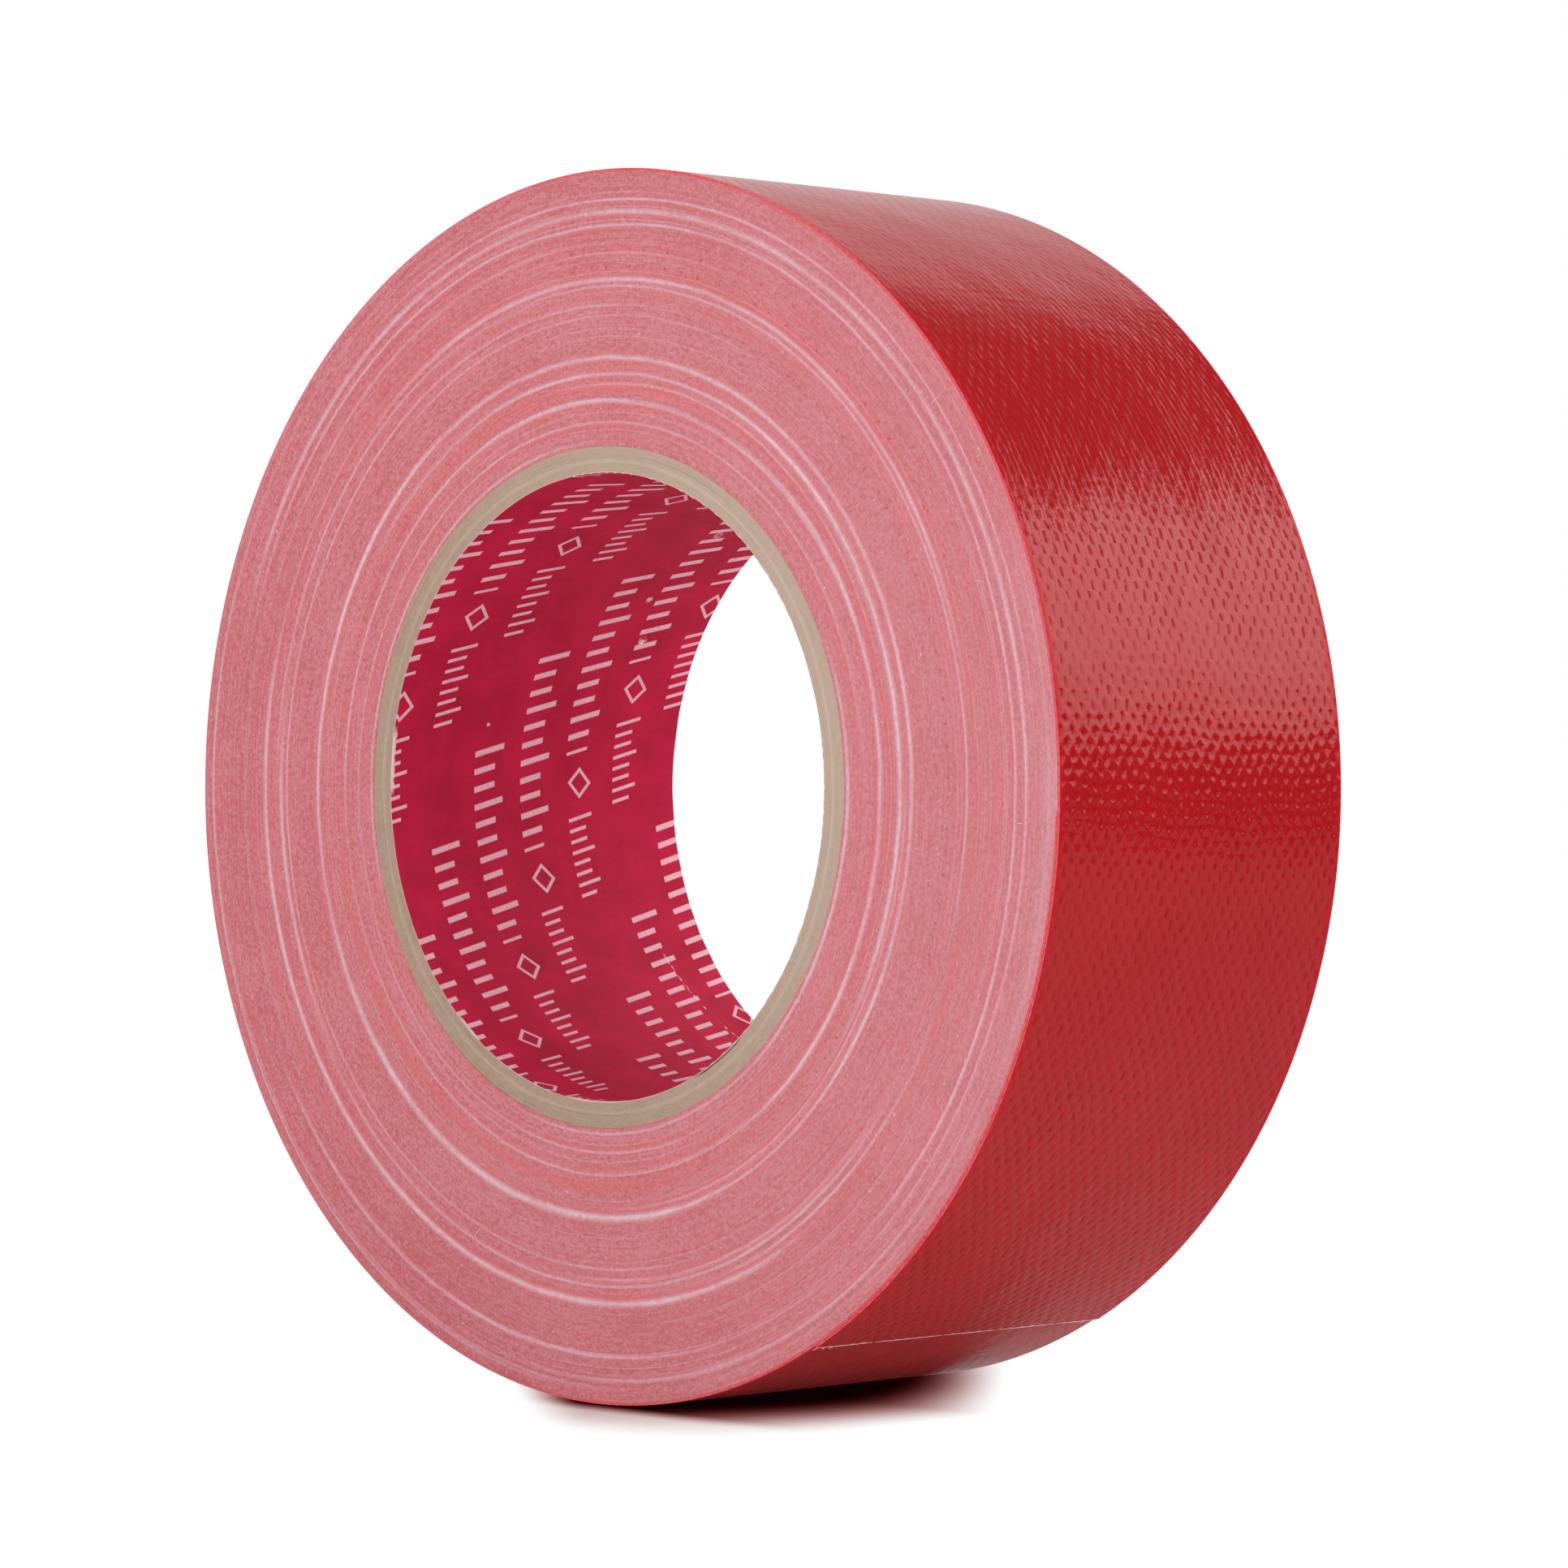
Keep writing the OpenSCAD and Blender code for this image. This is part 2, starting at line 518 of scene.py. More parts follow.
def adhesive_material():
    """Rubber adhesive, spread into the weave."""
    made, shader = material("tape_adhesive")
    along, across = tape_place(shader)
    yarns, _ = weave(along, across)
    smear = shader.noise(shader.join(along, across, 0.0), 0.35, 3)
    colour = shader.mix(smear.step(0.3, 0.75), ADHESIVE_DARK, ADHESIVE_CREAM)
    height = yarns * 0.05 + smear * 0.05
    shader.principled(colour, 0.38 + smear * 0.2, shader.bump(height), IOR=1.5)
    return made


# Rows of dark dots, the ends of one turn's weft yarns: radius, middle and half arc
SPECK_ROWS = ((65.6, 95.0, 50.0), (63.4, 60.0, 45.0), (58.3, 25.0, 60.0), (50.0, -25.0, 25.0))
# Degrees from one dot to the next
SPECK_STEP = 2.9
# Radii over which the turns' pink gets a little deeper
DEEPER_TURNS = (58.0, 68.0)


def speck_rows(cos, sin, radius):
    """1 at the dots of the speck rows."""
    angle = sin.math("ARCTAN2", cos) * (180 / math.pi)
    total = 0
    for at, middle, half_arc in SPECK_ROWS:
        off = abs(radius - at + (angle * 0.13 + at).sin() * 0.15)
        place = (angle / SPECK_STEP + (angle * 0.9).sin() * 0.15 + 200).fract()
        dot = abs(place - 0.5).step(0.07, 0.03) * off.step(0.22, 0.10)
        total = total + dot * near_angle(cos, sin, middle, half_arc)
    return total


def wound_edge_material():
    """Slit edges of the wound turns: dusty pink, streaked along the turns; painted sheen to the
    right, painted glow at the rim.
    """
    made, shader = material("wound_edge")
    cos, sin, radius, y = polar(shader)
    tone = shader.attribute("tone")
    coral = shader.attribute("coral")
    chalk = shader.attribute("chalk")
    rim = shader.attribute("rim")
    place = shader.join(cos * radius, sin * radius, y)
    streaks = shader.noise(shader.join(cos * 14.0, sin * 14.0, radius * 4.2), 1.0, 3)
    dashes = shader.noise(shader.join(cos * 60.0, sin * 60.0, radius * 3.0), 1.0, 2, 0.6)
    grain = shader.noise(place, 2.0, 3, 0.75)
    patches = shader.noise(place, 0.09, 2)
    dots = shader.noise(shader.join(cos * 62.0, sin * 62.0, radius * 1.7), 1.0, 1)
    flecks = shader.noise(place, 1.9, 1)
    mottle = shader.noise(place, 1.5, 3, 0.65)

    light = tone * 0.14 + streaks * 0.25 + dashes * 0.50 + (patches - 0.5) * 0.2 + grain
    light = light - radius.step(*DEEPER_TURNS) * 0.024
    colour = shader.mix(light.step(0.74, 1.12), PINK_DEEP, PINK_PALE)
    colour = shader.mix(0.15, colour, PINK)
    # Painted sheen: the pink turns greyer and paler towards the right
    colour = shader.mix((cos * radius).step(-60.0, 90.0) * 0.30, colour, PINK_SHEEN)
    colour = shader.mix((coral * (0.5 + streaks)).math("MINIMUM", 1.0), colour, CORAL)
    colour = shader.mix(dots.step(0.72, 0.80) * coral.step(0.0, 0.25) * 0.8, colour, SPECK)
    colour = shader.mix(speck_rows(cos, sin, radius) * 0.75, colour, SPECK)
    colour = shader.mix(flecks.step(0.72, 0.80) * 0.5, colour, CHALK)
    pale = chalk * (0.74 + mottle.step(0.38, 0.60) * 0.36)
    colour = shader.mix(pale.math("MINIMUM", 1.0), colour, CHALK)
    # Painted light: the outermost ring takes the slit edge's bright red, as light comes through
    # the film there, fading out towards the left
    red = rim * (0.55 + streaks * 0.4) * cos.step(-0.6, 0.5)
    colour = shader.mix(red, colour, EDGE_RED_GLOW)
    height = streaks * 0.04 + dashes * 0.05 + grain * 0.07 + chalk * 0.05
    shader.principled(colour, 0.62, shader.bump(height, 0.8), IOR=1.45)
    return made


def board_material():
    """Grey paperboard, fibrous, paler where a ply's edge is scuffed, and paler to the upper right
    as painted light.
    """
    made, shader = material("core_board")
    cos, sin, radius, y = polar(shader)
    place = shader.join(cos * radius, sin * radius, y)
    pulp = shader.noise(place, 1.1, 4, 0.65)
    fibre = shader.noise(shader.join(cos * 30.0, sin * 30.0, radius * 3.5), 1.0, 3)
    crumbs = shader.noise(place, 5.0, 2)
    scuff = shader.attribute("scuff")
    colour = shader.mix((pulp * 0.6 + fibre * 0.4).step(0.3, 0.7), BOARD_DARK, BOARD)
    # Painted light: the board is paler towards the upper right, where more light falls
    painted_side_light = (cos * 0.85 + sin * 0.50).step(-0.5, 1.1) * 0.5
    colour = shader.mix((scuff + painted_side_light + crumbs.step(0.62, 0.75) * 0.35), colour, BOARD_LIGHT)
    height = pulp * 0.12 + fibre * 0.06 + crumbs * 0.03
    shader.principled(colour, 0.9, shader.bump(height, 0.8), IOR=1.4)
    return made


# Print on the lining: rows of slanted bars round a small diamond, one mark after another
ROW_PITCH = 8.05
FIRST_ROW_Y = -24.4
FIRST_MARK_ANGLE = 208.8
ROW_SHIFT_ANGLE = 18.85
MARKS_PER_ROW = 4
WIDE_BARS = (0.0, 26.5)
DIAMOND_CENTRE = 30.6
THIN_BARS = (34.4, 46.3)
SLANT = 0.25


def bars(place, row, span, pitch, fill, height):
    """Slanted bars between two places along a row, each other one shorter."""
    start, end = span
    leaning = place - start + row * SLANT
    number = leaning / pitch
    inside = leaning.step(-0.03, 0.03) * leaning.step(end - start + 0.03, end - start - 0.03)
    body = abs(number.fract() - 0.5).step(fill / 2 + 0.02, fill / 2 - 0.02)
    short = (number / 3.0).floor() * 3.0
    short = (number.floor() - short).step(0.4, 0.6)
    reach = height / 2 * (1 - short * 0.28)
    tall = abs(row + short * height * 0.14) - reach
    return inside * body * tall.step(0.06, -0.06)


def liner_print(shader, cos, sin, y):
    """1 where the lining is printed."""
    angle = sin.math("ARCTAN2", cos) * (180 / math.pi)
    row_number = ((y - FIRST_ROW_Y) / ROW_PITCH + 0.5).floor()
    row = y - FIRST_ROW_Y - row_number * ROW_PITCH
    turn = (angle - FIRST_MARK_ANGLE + row_number * ROW_SHIFT_ANGLE) / 360 + 4
    round_length = 2 * math.pi * LINER_RADII[0]
    place = (turn * MARKS_PER_ROW).fract() * (round_length / MARKS_PER_ROW)
    wide = bars(place, row, WIDE_BARS, 2.3, 0.33, 4.9)
    thin = bars(place, row, THIN_BARS, 1.45, 0.32, 4.1)
    diamond = abs(place - DIAMOND_CENTRE) + abs(row)
    ring = abs(diamond - 1.75).step(0.38, 0.24)
    return (wide + thin + ring).math("MINIMUM", 1.0)


# Places where the lining's print is rubbed off: angle, y and size
SCUFFS = ((150.0, 14.4, 0.9), (140.5, 12.1, 0.7), (121.6, 15.4, 0.8), (168.0, -9.0, 0.5))
# Arcs where the lining's front edge is torn: middle, half arc and depth
TEARS = ((-90.5, 9.0, 0.9), (175.0, 7.0, 0.7), (-128.0, 4.0, 0.5))
SEAM_MIDDLE = (228.0, 18.0)
SEAM_HALF_ARC = 16.0
SEAM_SLOPE = 0.11


def liner_wear(cos, sin, y, grain):
    """How far the lining's red is gone: scuffs, the torn front edge and a rubbed seam."""
    total = 0
    for angle, at_y, size in SCUFFS:
        middle = math.radians(angle)
        near = (cos * math.cos(middle) + sin * math.sin(middle)) * -1 + 1
        distance = (near * (2 * LINER_RADII[0] ** 2) + (y - at_y) * (y - at_y)).math("SQRT")
        total = total + distance.step(size, size * 0.3) * grain.step(0.38, 0.58)
    for angle, half_arc, depth in TEARS:
        from_edge = (y + HALF_WIDTH) - grain * depth
        total = total + from_edge.step(depth * 0.35, 0.0) * near_angle(cos, sin, angle, half_arc)
    middle = math.radians(SEAM_MIDDLE[0])
    turned = sin * math.cos(middle) - cos * math.sin(middle)
    off = y - SEAM_MIDDLE[1] - turned * math.degrees(SEAM_SLOPE)
    seam = abs(off).step(0.20, 0.06) * near_angle(cos, sin, SEAM_MIDDLE[0], SEAM_HALF_ARC)
    return (total + seam * grain.step(0.45, 0.60) * 0.8).math("MINIMUM", 1.0)


def liner_material():
    """Crimson paper with a pale repeated print, rubbed in places."""
    made, shader = material("liner_paper")
    cos, sin, radius, y = polar(shader)
    place = shader.join(cos * radius, sin * radius, y)
    mottle = shader.noise(place, 0.16, 3)
    fibre = shader.noise(shader.join(cos * 60.0, sin * 60.0, y * 0.8), 1.0, 3)
    grain = shader.noise(place, 4.0, 2)
    ragged = shader.noise(place, 1.4, 3)
    ink = (mottle * 0.7 + fibre * 0.3).step(0.3, 0.72)
    colour = shader.mix(ink, LINER_RED_DEEP, LINER_RED)
    marks = liner_print(shader, cos, sin, y)
    worn = marks * (0.80 + grain.step(0.35, 0.6) * 0.2)
    colour = shader.mix(worn, colour, PRINT)
    colour = shader.mix(liner_wear(cos, sin, y, ragged), colour, PAPER)
    inside = radius.step(LINER_RADII[0] + 0.09, LINER_RADII[0] + 0.05)
    colour = shader.mix(inside, PAPER_EDGE, colour)
    rough = 0.6 + grain * 0.15
    shader.principled(colour, rough, shader.bump(fibre * 0.05, 0.6), IOR=1.2)
    return made


def yarn_material():
    """Loose cotton yarn."""
    made, shader = material("loose_yarn")
    place = shader.position()
    twist = shader.noise(place, 2600.0, 2)
    colour = shader.mix(twist, YARN_DARK, YARN_PALE)
    shader.principled(colour, 0.85, shader.bump(twist * 0.03), IOR=1.45)
    return made


film = film_material()
film_edge = film_edge_material()
cloth = cloth_material()
adhesive = adhesive_material()
wound_edge = wound_edge_material()
board = board_material()
liner_paper = liner_material()
yarn = yarn_material()


# ---------------------------------------------------------------- strips of tape

# Each layer's depth under the tape's outer face, its thickness, material and slot
LAYERS = {
    "film": (0.0, FILM, film, "tape_film"),
    "cloth": (FILM, CLOTH, cloth, "tape_cloth"),
    "adhesive": (FILM + CLOTH, ADHESIVE, adhesive, "tape_adhesive"),
}
# Mesh of a face with relief: points across the tape and the step along it; and a plain face's
FINE_ACROSS = 256
FINE_STEP = 0.29
PLAIN_STEP = 1.3
# How far the film's two slit corners are rounded off
CORNER_DROP = 0.012
OUTER_STRIPS = 6
# At the hinge where the tape peels, share of a segment's half taken for the points on either side
# of it
PEEL_REACH = 0.34


def lift(u):
    """The tail lies just clear of the turn beneath it, from its peel line on."""
    return TAIL_LIFT * smoothstep(0, SEGMENT / 2, ROOT_END - u)


def on_slit_edge(centres):
    """Whether faces are on a strip's slit edges."""
    return np.abs(centres[:, 1]) > HALF_WIDTH - 0.02


def strip(name, layer, start, end, fine_inside=False):
    """One layer of the tape between two angles, with the weave in relief on its open face."""
    depth, thickness, surface, slot = LAYERS[layer]
    fine_outside = layer == "film"
    length = math.radians(end - start) * ROLL_RADIUS
    steps = math.ceil(length / (FINE_STEP if fine_outside or fine_inside else PLAIN_STEP))
    u = np.linspace(start, end, steps + 1)[:, None]
    fine = np.linspace(-HALF_WIDTH, HALF_WIDTH, FINE_ACROSS)
    ends = np.array([-HALF_WIDTH, HALF_WIDTH])
    top = fine if fine_outside else ends
    bottom = (fine if fine_inside else ends)[::-1]
    y = np.concatenate([top, bottom])[None, :]
    along = np.radians(u) * ROLL_RADIUS + 0 * y
    across = y + 0 * u
    outer = np.arange(y.size)[None, :] < top.size
    face = spiral_radius(u) + lift(u) - depth
    radius = np.where(outer, face, face - thickness)
    dip = np.clip((1 - weave(along, across)[0]) * RELIEF * 0.5, 0, RELIEF)
    corner = np.abs(across) > HALF_WIDTH - 0.01
    if fine_outside:
        radius = np.where(outer, radius - dip, radius)
        radius = np.where(outer & corner, face - CORNER_DROP, radius)
    if fine_inside:
        radius = np.where(~outer & ~corner, radius + dip * 0.8, radius)
    piece = loft(name, at_angle(u, radius, across))
    store(piece, "tape_mm", np.stack([along, across, 0 * along], -1).reshape(-1, 3))
    paint(piece, surface, film_edge, choose=on_slit_edge)
    return piece


def outer_turn():
    """The last turn, as equal strips in each layer."""
    arc = 360 / OUTER_STRIPS
    for layer in LAYERS:
        for number in range(OUTER_STRIPS):
            start = ROOT_END + arc * number
            piece = strip(f"outer_{layer}_{number + 1}", layer, start, start + arc)
            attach(piece, "root")
            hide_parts(f"outer_turn_{layer}")


def tail():
    """The free end of the tape: a piece over each hinge, and the last half segment."""
    for layer in LAYERS:
        for number, joint in enumerate(frame["joints"], start=1):
            hinge_u = PEEL - SEGMENT * (number - 1)
            half = SEGMENT / 2
            name = f"tail_bend_{number}_{layer}"
            piece = strip(name, layer, hinge_u - half, hinge_u + half, layer == "adhesive")
            reach = half * (PEEL_REACH if number == 1 else 1)
            from_point = Vector(at_angle(hinge_u + reach, ROLL_RADIUS, 0.0)) * MM
            to_point = Vector(at_angle(hinge_u - reach, ROLL_RADIUS, 0.0)) * MM
            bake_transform(piece)
            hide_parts(f"tail_{number}_{layer}")
        piece = strip(f"tail_end_{layer}", layer, 0.0, SEGMENT / 2, layer == "adhesive")
        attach(piece, "tail_6")


# ---------------------------------------------------------------- wound turns

# Pale turns, where the cloth's edge stands out: radius, strength, width, middle, half arc
CHALK_LINES = (
    (73.7, 0.50, 0.18, 208, 54), (73.2, 0.40, 0.15, 230, 40), (72.3, 0.55, 0.16, 295, 34),
    (72.0, 0.35, 0.14, 300, 26), (71.7, 0.60, 0.17, 65, 55), (70.15, 0.85, 0.30, 80, 78),
    (70.2, 0.50, 0.17, -20, 28), (69.4, 0.85, 0.24, 246, 30), (69.5, 0.40, 0.15, 285, 20),
    (68.6, 0.75, 0.18, 55, 100), (66.35, 0.50, 0.17, 125, 32), (65.2, 0.40, 0.15, 85, 16),
    (63.1, 1.00, 0.36, 196, 30), (63.0, 1.00, 0.38, 262, 38), (63.2, 0.45, 0.16, 143, 16),
    (62.0, 0.65, 0.18, 308, 20), (61.9, 0.80, 0.28, 72, 54), (61.1, 0.60, 0.18, 45, 55),
    (60.8, 0.60, 0.17, 140, 34), (60.8, 0.65, 0.20, 268, 52), (60.1, 0.60, 0.16, 292, 26),
    (60.0, 0.90, 0.30, 192, 18), (58.85, 0.55, 0.16, 180, 100), (57.6, 0.45, 0.15, 95, 34),
    (52.5, 0.80, 0.30, 60, 100), (52.6, 0.85, 0.34, 165, 30), (52.6, 1.10, 0.44, 245, 44),
    (52.4, 0.65, 0.18, 300, 32), (51.4, 0.55, 0.16, -40, 40), (50.6, 0.95, 0.34, 15, 44),
    (50.5, 0.65, 0.20, 75, 32), (50.4, 0.55, 0.18, 118, 24), (49.3, 0.50, 0.15, 60, 38),
    (47.4, 0.90, 0.28, 0, 52), (47.1, 0.65, 0.22, 70, 40), (47.3, 0.65, 0.20, 135, 48),
    (47.3, 0.50, 0.16, 265, 72), (44.6, 0.50, 0.16, 150, 140), (42.2, 0.80, 0.26, -12, 30),
    (42.1, 0.60, 0.20, 145, 52), (42.2, 0.60, 0.18, 288, 36),
)
# Bands where the film's red shows more: inner and outer radius, strength
CORAL_BANDS = (
    (64.8, 66.4, 0.22), (61.9, 63.6, 0.40), (59.3, 60.2, 0.22), (52.7, 53.5, 0.30),
    (50.7, 51.6, 0.34), (48.0, 49.6, 0.36), (46.2, 46.8, 0.25), (43.6, 44.4, 0.18),
)
BAND_FADE = 0.4
# Mesh of the wound side: rings in each turn, and columns round it
TURN_RINGS = 2
COLUMNS = 360


def angle_gap(theta, middle):
    """Degrees between angles, from 0 to 180."""
    return np.abs((theta - middle + 180) % 360 - 180)


def from_line(number, at, radius, theta):
    """Distance out from a line along the turns, which is a little wavy."""
    slow = 0.10 * wander_round(theta, 24, 1100 + number)
    return radius - at - slow - 0.05 * wander_round(theta, 4, 1600 + number)


def line_arc(middle, half_arc, theta):
    """1 along a line's arc, fading out at its ends."""
    return smoothstep(half_arc + 12, half_arc - 12, angle_gap(theta, middle))


def chalk_strength(web, radius, theta):
    """How pale each point of the side is, from the lines on the slit edges."""
    total = 0 * radius
    for number, (at, strength, width, middle, half_arc) in enumerate(CHALK_LINES):
        off = from_line(number, at, radius, theta)
        broken = 0.78 + 0.22 * wander_round(theta, 7.2, 1200 + number)
        across = np.exp(-((off / width) ** 2))
        total = total + strength * line_arc(middle, half_arc, theta) * broken * across
    thin = smoothstep(0.65, 0.97, wander(web / 110, 13))
    worn = smoothstep(71.5, 73.5, radius) * smoothstep(75.3, 74.6, radius)
    patchy = 0.10 + 0.12 * wander_round(theta, 7.2, 17)
    worn = worn * smoothstep(34, 8, angle_gap(theta, -6)) * patchy
    return np.clip(total + 0.26 * thin + worn, 0, 1)


def coral_strength(web, radius, theta):
    """How far the film's red shows on the side: in bands, and just inside the pale lines."""
    total = 0 * radius
    for low, high, strength in CORAL_BANDS:
        inside = smoothstep(low - BAND_FADE, low + BAND_FADE, radius)
        inside = inside * smoothstep(high + BAND_FADE, high - BAND_FADE, radius)
        total = total + strength * inside * (0.6 + 0.5 * wander_round(theta, 30, round(low * 10)))
    for number, (at, strength, width, middle, half_arc) in enumerate(CHALK_LINES):
        off = from_line(number, at, radius, theta) + 0.22 + width
        beside = np.exp(-((off / 0.2) ** 2)) * (0.5 + 0.5 * wander_round(theta, 9, 1800 + number))
        total = total + 0.60 * strength * line_arc(middle, half_arc, theta) * beside
    thin = smoothstep(0.5, 0.95, wander(web / 90, 15))
    return np.clip(total + 0.30 * thin, 0, 1)


def wound_side(name, side, seed):
    """Half of the wound turns, from mid-width to one slit side, as one spiral body."""
    u = np.linspace(ROOT_END, ROOT_END + 360, COLUMNS + 1)[:, None]
    last_turn = (ROLL_RADIUS - CORE_RADIUS) / THICKNESS
    rings = np.arange(0, int((last_turn - 1) * TURN_RINGS) + 1)[None, :]
    web = u + 360 * (1 + rings / TURN_RINGS)
    least = CORE_RADIUS + 0.002 * (rings.size - rings)
    radius = np.maximum(spiral_radius(web), least)
    theta = CUT_ANGLE + u + 0 * radius

    chalk = chalk_strength(web, radius, theta)
    groove = np.where(rings % TURN_RINGS == 0, 0.022, 0.0)
    slow = 0.035 * wander(radius / 2.3, seed + 1)
    inset = 0.06 + 0.022 * wander(web / 45, seed) + slow + groove - 0.035 * chalk
    inset = inset * smoothstep(-0.1, 0.5, rings / TURN_RINGS)
    face_y = side * (HALF_WIDTH - np.clip(inset, 0, 0.2))

    edge = radius[:, :1]
    hub = radius[:, -1:]
    centre = 0 * hub
    quarter = centre + side * HALF_WIDTH / 2
    outline_radius = np.concatenate([radius, hub, hub, edge, edge], axis=1)
    outline_y = np.concatenate([face_y, quarter, centre, centre, quarter], axis=1)
    piece = loft(name, at_angle(u, outline_radius, outline_y), sharp=60)

    blank = np.zeros((u.size, outline_y.shape[1] - face_y.shape[1]))
    tone = 0.5 + 0.5 * wander(web / 70, seed + 2)
    coral = coral_strength(web, radius, theta)
    rim = np.clip(1 - rings / TURN_RINGS, 0, 1) + 0 * radius
    for label, values in (("tone", tone), ("coral", coral), ("chalk", chalk), ("rim", rim)):
        store(piece, label, np.concatenate([values, blank], axis=1).reshape(-1, 1))
    paint(piece, wound_edge)
    put_on_root(piece, "wound_tape")


# ---------------------------------------------------------------- core

# Arc where the lining has come away from the inner ply, which leaves a dark slit
SLIT_MIDDLE = -57.0
SLIT_HALF_ARC = 9.0
SLIT_WIDTH = 0.30
SCUFFED_PLY = 3
CORE_COLUMNS = 240
# Added to a ply's number for the random shape of its back end
BACK_SEED = 31


def ring_tube(name, inner, outer, front_cut, back_cut, slit_width=0.0):
    """Tube with its own ends; the cuts take angles and wall radii and give mm below the side."""
    theta = np.linspace(0, 360, CORE_COLUMNS, endpoint=False)[:, None]
    wall = np.array([inner, inner + (outer - inner) * 0.5, outer])[None, :]
    radius = np.concatenate([wall, wall[:, ::-1]], axis=1) + 0 * theta
    arc = smoothstep(SLIT_HALF_ARC, SLIT_HALF_ARC * 0.4, angle_gap(theta, SLIT_MIDDLE))
    radius[:, :1] = radius[:, :1] + slit_width * arc
    front = -HALF_WIDTH + front_cut(theta, wall)
    back = HALF_WIDTH - back_cut(theta, wall)
    y = np.concatenate([front, back[:, ::-1]], axis=1)
    angle = np.radians(theta)
    points = np.stack([radius * np.cos(angle), y, radius * np.sin(angle)], -1)
    return loft(name, points, closed=True)


def ply_cut(seed):
    """A sawn end of a ply: a function of the angle and the radius in its wall."""
    def below_side(theta, wall):
        slow = 0.03 * wander(theta / 9 + 7 * seed, 21)
        fine = 0.012 * wander(theta / 1.5 + wall * 3 + seed, 22)
        return 0.05 + slow + fine + 0.02 * (seed % 2)
    return below_side


def lining_cut(theta, wall):
    """The lining's end, which is cut less evenly."""
    return 0.05 + 0.10 * np.abs(wander(theta / 5, 23)) + 0 * wall


def core():
    """The wound paperboard plies, cut off with the tape, and their printed lining."""
    inner = LINER_RADII[1]
    ply = (CORE_RADIUS - inner) / PLY_COUNT
    for number in range(1, PLY_COUNT + 1):
        low = inner + (number - 1) * ply
        front_cut = ply_cut(number)
        back_cut = ply_cut(number + BACK_SEED)
        slit_width = SLIT_WIDTH if number == 1 else 0.0
        name = f"core_ply_board_{number}"
        piece = ring_tube(name, low, low + ply, front_cut, back_cut, slit_width)
        scuffed = 0.30 if number == SCUFFED_PLY else 0.0
        store(piece, "scuff", np.full(len(piece.data.vertices), scuffed))
        paint(piece, board)
        put_on_root(piece, f"core_ply_{number}")
    piece = ring_tube("core_liner_paper", *LINER_RADII, lining_cut, lining_cut)
    paint(piece, liner_paper)
    put_on_root(piece, "core_liner")


# ---------------------------------------------------------------- loose yarns

# Short fibres that stand out of the slit side: radius, angle, length and lean from radial
SIDE_YARNS = (
    (72.5, 38.3, 1.5, 4.0), (69.9, -3.4, 0.8, 0.0), (67.8, 20.2, 1.3, 30.0),
    (69.6, 86.5, 1.3, -40.0), (59.6, 147.5, 1.1, 2.0), (49.5, 209.2, 1.2, -25.0),
    (44.0, 192.4, 1.0, 30.0), (60.4, 248.2, 1.4, 20.0),
)
# Stretches of the last weft yarn, which lies along the cut end: from y to y
CUT_YARNS = ((-24.9, -15.2), (-14.8, -3.1), (-2.9, 6.4), (6.9, 17.0), (17.2, 24.9))
YARN_WIDTH = 0.12


def thread(name, path, across, body, width=YARN_WIDTH):
    """Yarn along a row of points, thinner at its ends; across is a direction square to it."""
    forward = np.gradient(path, axis=0)
    forward = forward / np.linalg.norm(forward, axis=1)[:, None]
    side = np.cross(forward, across)
    side = side / np.linalg.norm(side, axis=1)[:, None]
    up = np.cross(side, forward)
    share = np.linspace(0, 1, len(path))[:, None, None]
    radius = width / 2 * (0.3 + 0.7 * np.sqrt(np.sin(math.pi * share) + 1e-9))
    turn = np.radians(np.arange(0, 360, 45))[None, :, None]
    ring = side[:, None, :] * np.cos(turn) + up[:, None, :] * np.sin(turn)
    piece = loft(name, path[:, None, :] + radius * ring, sharp=180)
    paint(piece, yarn)
    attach(piece, body)


def side_yarns():
    """The fibres that stand out of the slit side."""
    for number, (radius, theta, length, lean) in enumerate(SIDE_YARNS, start=1):
        share = np.linspace(0, 1, 15)
        inward = length * share * math.cos(math.radians(lean))
        sideways = length * share * math.sin(math.radians(lean))
        sideways = sideways + 0.05 * wander(share * 2 + 10 * number, 61)
        angle = theta - CUT_ANGLE + np.degrees(sideways / radius)
        y = -HALF_WIDTH - 0.15 * np.sin(math.pi * share)
        thread(f"side_yarn_{number}", at_angle(angle, radius - inward, y), (0, 1, 0), "root", 0.10)


def cut_yarns():
    """The last weft yarn along the cut end, and the warps' frayed tips at its two corners."""
    radius = ROLL_RADIUS + TAIL_LIFT - 0.05
    outward = at_angle(0.0, 1.0, 0.0)
    for number, (start, end) in enumerate(CUT_YARNS, start=1):
        y = np.linspace(start, end, 60)
        wave = wander(y / 1.3 + 50 * number, 71)
        path = at_angle(-0.09 + 0.05 * wave, radius + 0.02 * wave, y)
        thread(f"cut_yarn_{number}", path, outward, "tail_6")
    for number, y in enumerate((-24.7, -23.2, -21.9, 22.6, 24.6), start=1):
        share = np.linspace(0, 1, 15)
        sway = 0.12 * wander(share * 2 + 9 * number, 72)
        path = at_angle(0.05 - 0.75 * share, radius - 0.04 * share, y + sway)
        thread(f"frayed_tip_{number}", path, outward, "tail_6", 0.08)


# ---------------------------------------------------------------- camera and light

CAMERA_AZIMUTH = 45.06
CAMERA_DISTANCE = 0.694
CAMERA_LENS = 127.2
CAMERA_SHIFT = (0.0258, 0.0021)


